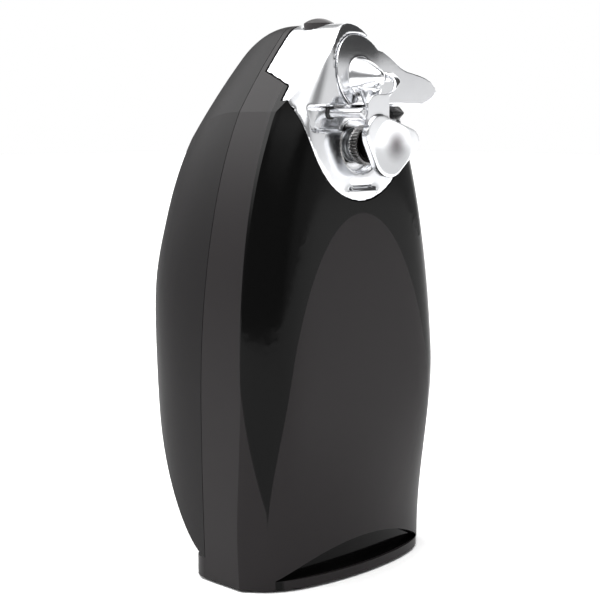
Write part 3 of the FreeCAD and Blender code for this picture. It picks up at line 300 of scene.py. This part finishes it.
@dataclass(frozen=True)
class FrontPlastic:
    """Black ABS front: polished border around a fine-grained arch, polished scoop, matte sides."""

    name: str = "moulded ABS, black, polished border and grained arch"
    arch_half: float = 49.0 * MM
    arch_base: float = 30.0 * MM
    arch_rise: float = 127.5 * MM
    edge_low: float = -12.6 * MM
    edge_mid: float = -5.3 * MM
    edge_high: float = 0.0
    edge_z: tuple[float, float, float] = (35.0 * MM, 90.0 * MM, 211.0 * MM)
    foot: float = 17.8 * MM
    foot_curve: float = 146.0 * MM
    scoop_y: float = -22.2 * MM
    scoop_half: float = 46.0 * MM
    scoop_rise: float = 12.6 * MM
    grained: str = "#191617"
    glossy: str = "#060606"
    gloss_specular: float = 0.09
    grain_specular: float = 0.16
    gloss_roughness: float = 0.10
    grain_roughness: float = 0.46
    grain: float = 0.45 * MM
    bump: float = 0.12
    soft_edge: float = 0.3 * MM
    scoop_edge: float = 0.4 * MM
    scoop_rim: float = 0.5 * MM
    arch_blend: float = 0.004

    def build(self) -> bpy.types.Material:
        """Make the front: one mask says where the tool was polished, the rest is grained.

        Returns:
            The finished material.
        """
        material, tree, shader, place = start_material(self.name, IOR=1.5)
        polished = self.mask(tree, place)
        grain = add(tree, "ShaderNodeTexNoise", {"Vector": place, "Scale": 1 / self.grain,
                                                 "Detail": 1.0})
        tone = add(tree, "ShaderNodeMix", {0: polished, 6: linear(self.grained),
                                           7: linear(self.glossy)}, data_type="RGBA")
        wire(tree, tone.outputs[2], shader, "Base Color")
        rough = add(tree, "ShaderNodeMapRange", {0: polished, 3: self.grain_roughness,
                                                 4: self.gloss_roughness})
        wire(tree, rough.outputs[0], shader, "Roughness")
        sheen = add(tree, "ShaderNodeMapRange", {0: polished, 3: self.grain_specular,
                                                 4: self.gloss_specular})
        wire(tree, sheen.outputs[0], shader, "Specular IOR Level")
        strength = add(tree, "ShaderNodeMapRange", {0: polished, 3: self.bump, 4: 0.0})
        bump = add(tree, "ShaderNodeBump", {"Height": grain.outputs[0],
                                            "Strength": strength.outputs[0],
                                            "Distance": self.grain * GRAIN_DEPTH})
        wire(tree, bump.outputs[0], shader, "Normal")
        return material

    def mask(self, tree: Nodes, place: Socket) -> Socket:
        """Mark where the tool was polished.

        Args:
            tree: the material's nodes.
            place: object coordinates.

        Returns:
            1 on the border and in the scoop, 0 on the grained field and the sides.
        """
        x, y, z = add(tree, "ShaderNodeSeparateXYZ", {0: place}).outputs
        side = add(tree, "ShaderNodeMath", {0: x}, operation="ABSOLUTE").outputs[0]
        height = add(tree, "ShaderNodeMapRange", {0: z, 1: self.arch_base,
                                                  2: self.arch_base + self.arch_rise, 4: 1.0},
                     clamp=False).outputs[0]
        height = add(tree, "ShaderNodeMath", {0: height, 1: 0.0}, operation="MAXIMUM").outputs[0]
        width = add(tree, "ShaderNodeMath", {0: side, 1: self.arch_half},
                    operation="DIVIDE").outputs[0]
        both = add(tree, "ShaderNodeCombineXYZ", {0: width, 1: height}).outputs[0]
        reach = add(tree, "ShaderNodeVectorMath", {0: both}, operation="LENGTH").outputs["Value"]
        outside = add(tree, "ShaderNodeMapRange", {0: reach, 1: 1.0 - self.arch_blend,
                                                   2: 1.0 + self.arch_blend}).outputs[0]
        low = add(tree, "ShaderNodeMapRange", {0: z, 1: self.edge_z[0], 2: self.edge_z[1],
                                               3: self.edge_low, 4: self.edge_mid}).outputs[0]
        high = add(tree, "ShaderNodeMapRange", {0: z, 1: self.edge_z[1], 2: self.edge_z[2],
                                                4: self.edge_high - self.edge_mid}).outputs[0]
        edge = add(tree, "ShaderNodeMath", {0: low, 1: high}, operation="ADD").outputs[0]
        before = add(tree, "ShaderNodeMath", {0: edge, 1: y}, operation="SUBTRACT").outputs[0]
        front = add(tree, "ShaderNodeMapRange", {0: before, 1: -self.soft_edge,
                                                 2: self.soft_edge}).outputs[0]
        above = add(tree, "ShaderNodeMapRange", {0: z, 1: self.foot,
                                                 2: self.foot + 2 * self.soft_edge}).outputs[0]
        border = add(tree, "ShaderNodeMath", {0: outside, 1: front},
                     operation="MULTIPLY").outputs[0]
        border = add(tree, "ShaderNodeMath", {0: border, 1: above},
                     operation="MULTIPLY").outputs[0]
        bow = add(tree, "ShaderNodeMath", {0: x, 1: x}, operation="MULTIPLY").outputs[0]
        face = add(tree, "ShaderNodeMath", {0: bow, 1: 0.5 / self.foot_curve, 2: self.scoop_y},
                   operation="MULTIPLY_ADD").outputs[0]
        sunk = add(tree, "ShaderNodeMath", {0: y, 1: face}, operation="SUBTRACT").outputs[0]
        inside = add(tree, "ShaderNodeMapRange", {0: sunk, 2: self.scoop_edge}).outputs[0]
        fall = self.scoop_rise / self.scoop_half ** 2
        crescent = add(tree, "ShaderNodeMath", {0: bow, 1: fall, 2: z},
                       operation="MULTIPLY_ADD").outputs[0]
        below = add(tree, "ShaderNodeMapRange", {0: crescent, 1: self.foot,
                                                 2: self.foot - self.scoop_rim}).outputs[0]
        middle = add(tree, "ShaderNodeMapRange", {0: side, 1: self.scoop_half,
                                                  2: self.scoop_half - self.scoop_edge}).outputs[0]
        scoop = add(tree, "ShaderNodeMath", {0: inside, 1: below}, operation="MULTIPLY").outputs[0]
        scoop = add(tree, "ShaderNodeMath", {0: scoop, 1: middle}, operation="MULTIPLY").outputs[0]
        return add(tree, "ShaderNodeMath", {0: border, 1: scoop}, operation="MAXIMUM").outputs[0]


@dataclass(frozen=True)
class ToothedSteel:
    """Hardened feed wheel: blackened face, teeth worn bright by the can's rim."""

    name: str
    axis_z: float
    bright_from: float
    dark: str = "#1E1B1A"
    bright: str = "#C4C2C0"
    blend: float = 0.4 * MM
    dark_roughness: float = 0.5
    bright_roughness: float = 0.22
    mark: float = 0.5 * MM
    mark_bump: float = 0.2
    mark_depth: float = 0.08 * MM

    def build(self) -> bpy.types.Material:
        """Make the steel: tone and roughness change where the teeth begin.

        Returns:
            The finished material.
        """
        material, tree, shader, place = start_material(self.name, Metallic=1.0)
        flat = add(tree, "ShaderNodeVectorMath", {0: place, 1: (1.0, 0.0, 1.0)},
                   operation="MULTIPLY")
        reach = add(tree, "ShaderNodeVectorMath", {0: flat.outputs[0], 1: (0.0, 0.0, self.axis_z)},
                    operation="DISTANCE").outputs["Value"]
        worn = add(tree, "ShaderNodeMapRange", {0: reach, 1: self.bright_from,
                                                2: self.bright_from + self.blend}).outputs[0]
        marks = add(tree, "ShaderNodeTexNoise", {"Vector": place, "Scale": 1 / self.mark,
                                                 "Detail": 2.0})
        tone = add(tree, "ShaderNodeMix", {0: worn, 6: linear(self.dark), 7: linear(self.bright)},
                   data_type="RGBA")
        wire(tree, tone.outputs[2], shader, "Base Color")
        rough = add(tree, "ShaderNodeMapRange", {0: worn, 3: self.dark_roughness,
                                                 4: self.bright_roughness})
        wire(tree, rough.outputs[0], shader, "Roughness")
        bump = add(tree, "ShaderNodeBump", {"Height": marks.outputs[0], "Strength": self.mark_bump,
                                            "Distance": self.mark_depth})
        wire(tree, bump.outputs[0], shader, "Normal")
        return material


# ---------------------------------------------------------------- mesh helpers
def new_object(name: str, bm: bmesh.types.BMesh, body: str,
               smooth: float = 40.0) -> bpy.types.Object:
    """Turn a bmesh into a piece that rides on a body.

    Args:
        name: the piece's name.
        bm: finished mesh, which is freed.
        body: CAD body that it rides on.
        smooth: edges sharper than this many degrees stay sharp.

    Returns:
        The new object, at the origin.
    """
    mesh = bpy.data.meshes.new(name)
    bm.to_mesh(mesh)
    bm.free()
    mesh.shade_smooth()
    mesh.set_sharp_from_angle(angle=math.radians(smooth))
    piece = bpy.data.objects.new(name, mesh)
    bpy.context.scene.collection.objects.link(piece)
    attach(piece, body)
    return piece


def cad_bmesh(node: str) -> bmesh.types.BMesh:
    """Copy a CAD node's mesh with its doubles merged.

    Args:
        node: name of the CAD node.

    Returns:
        The copy.
    """
    bm = bmesh.new()
    bm.from_mesh(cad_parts[node].data)
    bmesh.ops.remove_doubles(bm, verts=bm.verts, dist=0.001 * MM)
    return bm


def soften(bm: bmesh.types.BMesh, voxel: float, rounds: int) -> bmesh.types.BMesh:
    """Remesh a closed form evenly and round its edges, as a casting's are.

    Args:
        bm: closed mesh, which is freed.
        voxel: grid size.
        rounds: how many times the points are evened out.

    Returns:
        The softened mesh.
    """
    mesh = bpy.data.meshes.new("raw")
    bm.to_mesh(mesh)
    bm.free()
    raw = bpy.data.objects.new("raw", mesh)
    bpy.context.scene.collection.objects.link(raw)
    grid = raw.modifiers.new("grid", "REMESH")
    grid.mode = "VOXEL"
    grid.voxel_size = voxel
    evaluated = raw.evaluated_get(bpy.context.evaluated_depsgraph_get())
    soft = bmesh.new()
    soft.from_mesh(evaluated.to_mesh())
    evaluated.to_mesh_clear()
    bpy.data.objects.remove(raw)
    bpy.data.meshes.remove(mesh)
    for _ in range(rounds):
        bmesh.ops.smooth_vert(soft, verts=soft.verts, factor=0.5, use_axis_x=True, use_axis_y=True,
                              use_axis_z=True)
    return soft


def hoop(centre: Vector, axis: Vector, radius: float, wire_radius: float) -> bmesh.types.BMesh:
    """Sweep a small circle around an axis: a bead or a retaining ring.

    Args:
        centre: middle of the hoop.
        axis: direction through its middle.
        radius: from the axis to the middle of the bead.
        wire_radius: the bead's own radius.

    Returns:
        The closed hoop.
    """
    bm = bmesh.new()
    outward = axis.orthogonal().normalized()
    section = bmesh.ops.create_circle(bm, segments=HOOP_SECTION, radius=wire_radius)["verts"]
    turn = Vector((0, 0, 1)).rotation_difference(axis.cross(outward))
    for vert in section:
        vert.co = turn @ vert.co + centre + outward * radius
    bmesh.ops.spin(bm, geom=bm.verts[:] + bm.edges[:], cent=centre, axis=axis, angle=math.tau,
                   steps=HOOP_STEPS, use_merge=True)
    bmesh.ops.recalc_face_normals(bm, faces=bm.faces)
    return bm


def dress(piece: bpy.types.Object, material: bpy.types.Material) -> None:
    """Give a piece one material."""
    piece.data.materials.clear()
    piece.data.materials.append(material)


def dress_nodes(material: bpy.types.Material, *nodes: str) -> None:
    """Give CAD nodes one material and report them.

    Args:
        material: what they get.
        nodes: names of CAD nodes.
    """
    for node in nodes:
        dress(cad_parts[node], material)
        log.info("dressed %s in %s", node, material.name)


# ---------------------------------------------------------------- sub-assemblies
@dataclass
class BodyShell:
    """Front housing, rear cover, base pad and the ribbed sleeve where the cord enters."""

    sleeve_z: float = 34.0 * MM
    sleeve_y: tuple[float, float] = (36.9 * MM, 49.9 * MM)
    sleeve_radius: tuple[float, float] = (4.6 * MM, 3.4 * MM)
    ribs: int = 5
    rib_radius: float = 0.45 * MM

    def build(self) -> None:
        """Dress the shells and add the sleeve's ribs."""
        dress_nodes(FrontPlastic().build(), "front_housing")
        cover = MouldedPlastic("moulded ABS, charcoal, grained", "#0F0D0E", "#131112",
                               specular=0.15)
        dress_nodes(cover.build(), "rear_cover")
        rubber = MouldedPlastic("rubber, black, matte", "#1B1A1A", "#232121", roughness=0.75).build()
        dress_nodes(rubber, "base_pad", "cord_inlet_bush")
        self.make_ribs(rubber)

    def make_ribs(self, rubber: bpy.types.Material) -> None:
        """Make the ribs that let the sleeve bend.

        Args:
            rubber: the sleeve's material.
        """
        (near, far), (wide, narrow) = self.sleeve_y, self.sleeve_radius
        for i in range(self.ribs):
            share = (i + 0.6) / self.ribs
            centre = Vector((0.0, near + (far - near) * share, self.sleeve_z))
            bead = hoop(centre, Vector((0, 1, 0)), wide + (narrow - wide) * share, self.rib_radius)
            dress(new_object(f"sleeve_rib_{i + 1}", bead, "body"), rubber)
        log.info("made %d sleeve ribs", self.ribs)


@dataclass
class ChromeCap:
    """Plated cap with the parts pressed into it."""

    voxel: float = 0.6 * MM
    rounds: int = 5
    post: tuple[float, float] = (-15.4 * MM, 199.5 * MM)
    post_radius: float = 2.0 * MM
    post_root_y: float = -16.4 * MM
    post_tip_y: float = -34.8 * MM
    collar: float = 0.45 * MM
    eye: tuple[float, float] = (1.15 * MM, 0.22 * MM)

    def build(self) -> None:
        """Make the cap and dress its posts."""
        chrome = PlatedCasting("chrome plate on zinc casting").build()
        soft = soften(cad_bmesh("chrome_cap"), self.voxel, self.rounds)
        cap = new_object("cap", soft, "body", CAST_ANGLE)
        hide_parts("chrome_cap")
        dress(cap, chrome)
        log.info("made cap")
        steel = CutMetal("turned steel, plated", "#D9DADC", "#A9AAAC", roughness=0.22).build()
        dress_nodes(steel, "guide_post")
        black = MouldedPlastic("acetal, black, satin", "#141313", "#1B1A1A", roughness=0.35).build()
        dress_nodes(black, "guide_stud")
        self.make_post_rings(steel, black)

    def make_post_rings(self, steel: bpy.types.Material, black: bpy.types.Material) -> None:
        """Make the dark seal at the post's root and the turned ring on its tip.

        Args:
            steel: material of the ring.
            black: material of the seal.
        """
        along = Vector((0, 1, 0))
        root = Vector((self.post[0], self.post_root_y, self.post[1]))
        ring = hoop(root, along, self.post_radius + self.collar * SEAL_BITE, self.collar)
        seal = new_object("post_seal", ring, "body")
        dress(seal, black)
        radius, bead = self.eye
        tip = Vector((self.post[0], self.post_tip_y + bead, self.post[1]))
        dress(new_object("post_eye", hoop(tip, along, radius, bead), "body"), steel)
        log.info("made post rings")


@dataclass
class CutterLever:
    """Plated lever with its hub cone and blade."""

    voxel: float = 0.35 * MM
    rounds: int = 4
    hub: tuple[float, float] = (1.2 * MM, 214.2 * MM)
    nose_ring_y: float = -27.4 * MM
    nose_ring: tuple[float, float] = (3.75 * MM, 0.22 * MM)

    def build(self) -> None:
        """Make the lever and dress the blade and its pins."""
        chrome = PlatedCasting("chrome plate on zinc lever", wave=7 * MM).build()
        soft = soften(cad_bmesh("cutting_lever"), self.voxel, self.rounds)
        lever = new_object("lever", soft, "lever", CAST_ANGLE)
        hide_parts("cutting_lever")
        dress(lever, chrome)
        log.info("made lever")
        self.make_nose_ring(chrome)
        steel = CutMetal("stainless steel, ground", "#C9CACB", "#8E9092", roughness=0.25).build()
        dress_nodes(steel, "cutting_blade", "lever_pivot_shaft", "magnet_arm_pin", "switch_crank")

    def make_nose_ring(self, chrome: bpy.types.Material) -> None:
        """Make the fine bead around the cone, short of its tip.

        Args:
            chrome: the cone's material.
        """
        centre = Vector((self.hub[0], self.nose_ring_y, self.hub[1]))
        bead = hoop(centre, Vector((0, 1, 0)), *self.nose_ring)
        dress(new_object("nose_ring", bead, "lever"), chrome)
        log.info("made nose ring")


@dataclass
class LidArm:
    """Plated arm that carries the lid magnet."""

    voxel: float = 0.3 * MM
    rounds: int = 4
    # centre of the painted dark reflection on the paddle, where the dark body would be mirrored
    painted_reflection_centre: tuple[float, float, float] = (7.5 * MM, -33.0 * MM, 186.5 * MM)

    def build(self) -> None:
        """Make the arm and dress the magnet."""
        # the paddle gets a darker spot of painted reflection in its base colour
        chrome = PlatedCasting("chrome plate on steel arm, painted dark reflection", wave=6 * MM,
                               painted_reflection_centre=self.painted_reflection_centre).build()
        soft = soften(cad_bmesh("magnet_arm"), self.voxel, self.rounds)
        arm = new_object("arm", soft, "magnet_arm", CAST_ANGLE)
        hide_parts("magnet_arm")
        dress(arm, chrome)
        log.info("made arm")
        ferrite = MouldedPlastic("ferrite magnet, sintered", "#222122", "#2E2D2E",
                                 roughness=0.6).build()
        dress_nodes(ferrite, "lid_magnet")


@dataclass
class FeedDrive:
    """Feed wheel, its nut, shaft and bearing, and the pins and clips of the gears behind."""

    axis_z: float = 186.2 * MM
    tooth_root: float = 7.3 * MM

    def build(self) -> None:
        """Dress the drive."""
        teeth = ToothedSteel("hardened steel, blackened, teeth bright", self.axis_z, self.tooth_root)
        dress_nodes(teeth.build(), "feed_wheel")
        dark = CutMetal("hardened steel, blackened", "#2A2726", "#171514", roughness=0.4).build()
        dress_nodes(dark, "feed_wheel_nut")
        steel = CutMetal("carbon steel, turned", "#B6B7B8", "#7F8183", roughness=0.28).build()
        dress_nodes(steel, "drive_shaft", "drive_shaft_bush", "drive_shaft_clip", "gear_pins",
                    "gear_clips")
        bronze = CutMetal("sintered bronze", "#9A7B4C", "#6B5331", roughness=0.45).build()
        dress_nodes(bronze, "motor_bearings")


@dataclass
class InnerWorks:
    """Frame, gears, motor and switch inside the body."""

    def build(self) -> None:
        """Dress the inner pieces."""
        zinc = CutMetal("zinc-plated steel sheet", "#B9BCBB", "#8E9190", roughness=0.38,
                        axis=MarkAxis.Z).build()
        dress_nodes(zinc, "mounting_frame", "frame_screws", "cover_screws", "motor_front_bracket",
                    "motor_rear_bracket", "motor_standoffs", "motor_bolts", "switch_terminals")
        wire_steel = CutMetal("spring steel wire", "#A5A6A7", "#6F7072", roughness=0.3).build()
        dress_nodes(wire_steel, "lever_spring", "button_spring", "button_clip", "motor_shaft")
        nylon = MouldedPlastic("nylon, natural", "#D8D3C4", "#E2DDCF", roughness=0.45).build()
        dress_nodes(nylon, "output_gear", "second_gear", "first_gear", "switch_slider")
        black = MouldedPlastic("glass-filled nylon, black", "#191919", "#222222",
                               roughness=0.5).build()
        dress_nodes(black, "motor_fan", "switch_body")
        core = StackedSheet("silicon steel laminations", "#7C7D7F", "#3A3A3C", 0.5 * MM).build()
        dress_nodes(core, "motor_stator", "motor_rotor")
        coil = StackedSheet("enamelled copper winding", "#B5683A", "#5A2D16", 0.4 * MM,
                            axis=MarkAxis.X).build()
        dress_nodes(coil, "motor_coil")


@dataclass
class LidButton:
    """Release button on the crown."""

    def build(self) -> None:
        """Dress the button."""
        black = MouldedPlastic("moulded ABS, black, satin", "#2A2728", "#302D2E",
                               roughness=0.3).build()
        dress_nodes(black, "release_button")


def toward(azimuth: float, elevation: float) -> Vector:
    """Turn two angles into a direction from the object.

    Args:
        azimuth: degrees, 0 at the front and 90 at the right side.
        elevation: degrees above the horizon.

    Returns:
        The unit direction.
    """
    a, e = math.radians(azimuth), math.radians(elevation)
    return Vector((math.sin(a) * math.cos(e), -math.cos(a) * math.cos(e), math.sin(e)))


@dataclass(frozen=True)
class Panel:
    """Round soft panel of light: where it is, its half-angles and how bright it is."""

    azimuth: float
    elevation: float
    inner: float
    outer: float
    level: float


@dataclass
class Studio:
    """Pale floor, soft lights and camera."""

    wall_level: float = 0.30
    ceiling_level: float = 1.5
    darkest: float = 0.06
    rise: tuple[float, float] = (0.55, 0.95)
    floor_half: float = 6.0
    panels: tuple[Panel, ...] = (
        Panel(-155.0, 42.0, 12.0, 36.0, 4.5), Panel(-60.0, 60.0, 10.0, 40.0, 2.0),
        Panel(20.0, 72.0, 8.0, 30.0, 2.5), Panel(110.0, 20.0, 10.0, 34.0, 1.4),
        Panel(40.0, 0.0, 22.0, 60.0, 0.55), Panel(62.0, 45.0, 6.0, 34.0, -2.2))

    aim: tuple[float, float, float] = (-17.2 * MM, 0.0, 120.0 * MM)
    azimuth: float = -45.3
    elevation: float = 7.6
    distance: float = 579.4 * MM
    lens: float = 81.0

    def build(self) -> None:
        """Make the floor, the lights, the surroundings and the camera."""
        self.make_floor()
        self.make_world()
        self.make_camera()
        log.info("made studio")

    def make_floor(self) -> None:
        """Make a wide pale floor."""
        bm = bmesh.new()
        bmesh.ops.create_grid(bm, x_segments=1, y_segments=1, size=self.floor_half)
        mesh = bpy.data.meshes.new("floor")
        bm.to_mesh(mesh)
        bm.free()
        floor = bpy.data.objects.new("floor", mesh)
        bpy.context.scene.collection.objects.link(floor)
        material, tree, shader, place = start_material("matte painted board, white", Roughness=0.9,
                                                       Specular_IOR_Level=0.1)
        tint = add(tree, "ShaderNodeTexNoise", {"Vector": place, "Scale": 2.0})
        tone = add(tree, "ShaderNodeMix", {0: tint.outputs[0], 6: linear("#F6F6F6"),
                                           7: linear("#FAFAFA")}, data_type="RGBA")
        wire(tree, tone.outputs[2], shader, "Base Color")
        dress(floor, material)

    def make_world(self) -> None:
        """Make the room: white behind the object, with soft panels and greys in what it reflects."""
        world = bpy.data.worlds.new("room")
        bpy.context.scene.world = world
        world.use_nodes = True
        tree = world.node_tree
        tree.nodes.clear()
        place = add(tree, "ShaderNodeTexCoord").outputs["Generated"]
        up = add(tree, "ShaderNodeSeparateXYZ", {0: place}).outputs["Z"]
        level = add(tree, "ShaderNodeMapRange", {0: up, 1: self.rise[0], 2: self.rise[1],
                                                 3: self.wall_level,
                                                 4: self.ceiling_level}).outputs[0]
        for panel in self.panels:
            aim = toward(panel.azimuth, panel.elevation)
            inner, outer = math.cos(math.radians(panel.inner)), math.cos(math.radians(panel.outer))
            beside = add(tree, "ShaderNodeVectorMath", {0: place, 1: aim},
                         operation="DOT_PRODUCT").outputs["Value"]
            glow = add(tree, "ShaderNodeMapRange", {0: beside, 1: outer, 2: inner, 3: 0.0,
                                                    4: panel.level}, interpolation_type="SMOOTHSTEP")
            level = add(tree, "ShaderNodeMath", {0: level, 1: glow.outputs[0]},
                        operation="ADD").outputs[0]
        level = add(tree, "ShaderNodeMath", {0: level, 1: self.darkest},
                    operation="MAXIMUM").outputs[0]
        shown = add(tree, "ShaderNodeLightPath").outputs["Is Camera Ray"]
        grey = add(tree, "ShaderNodeBackground", {"Color": (1.0, 1.0, 1.0, 1.0), "Strength": level})
        white = add(tree, "ShaderNodeBackground", {"Color": (1.0, 1.0, 1.0, 1.0), "Strength": 1.0})
        both = add(tree, "ShaderNodeMixShader", {0: shown, 1: grey.outputs[0], 2: white.outputs[0]})
        add(tree, "ShaderNodeOutputWorld", {"Surface": both.outputs[0]})

    def make_camera(self) -> None:
        """Make the camera."""
        back = toward(self.azimuth, self.elevation)
        data = bpy.data.cameras.new("camera")
        data.lens = self.lens
        data.sensor_width = 36.0
        data.clip_start, data.clip_end = 0.01, 50.0
        camera = bpy.data.objects.new("camera", data)
        camera.location = Vector(self.aim) + back * self.distance
        camera.rotation_mode = "QUATERNION"
        camera.rotation_quaternion = (-back).to_track_quat("-Z", "Y")
        bpy.context.scene.collection.objects.link(camera)
        bpy.context.scene.camera = camera


def main() -> None:
    """Build every sub-assembly in order, then the studio."""
    bpy.context.scene.view_settings.view_transform = "Standard"
    for part in (BodyShell(), ChromeCap(), CutterLever(), LidArm(), FeedDrive(), InnerWorks(),
                 LidButton(), Studio()):
        part.build()


if __name__ == "__main__":
    logging.basicConfig(level=logging.INFO, format="%(message)s")
    main()
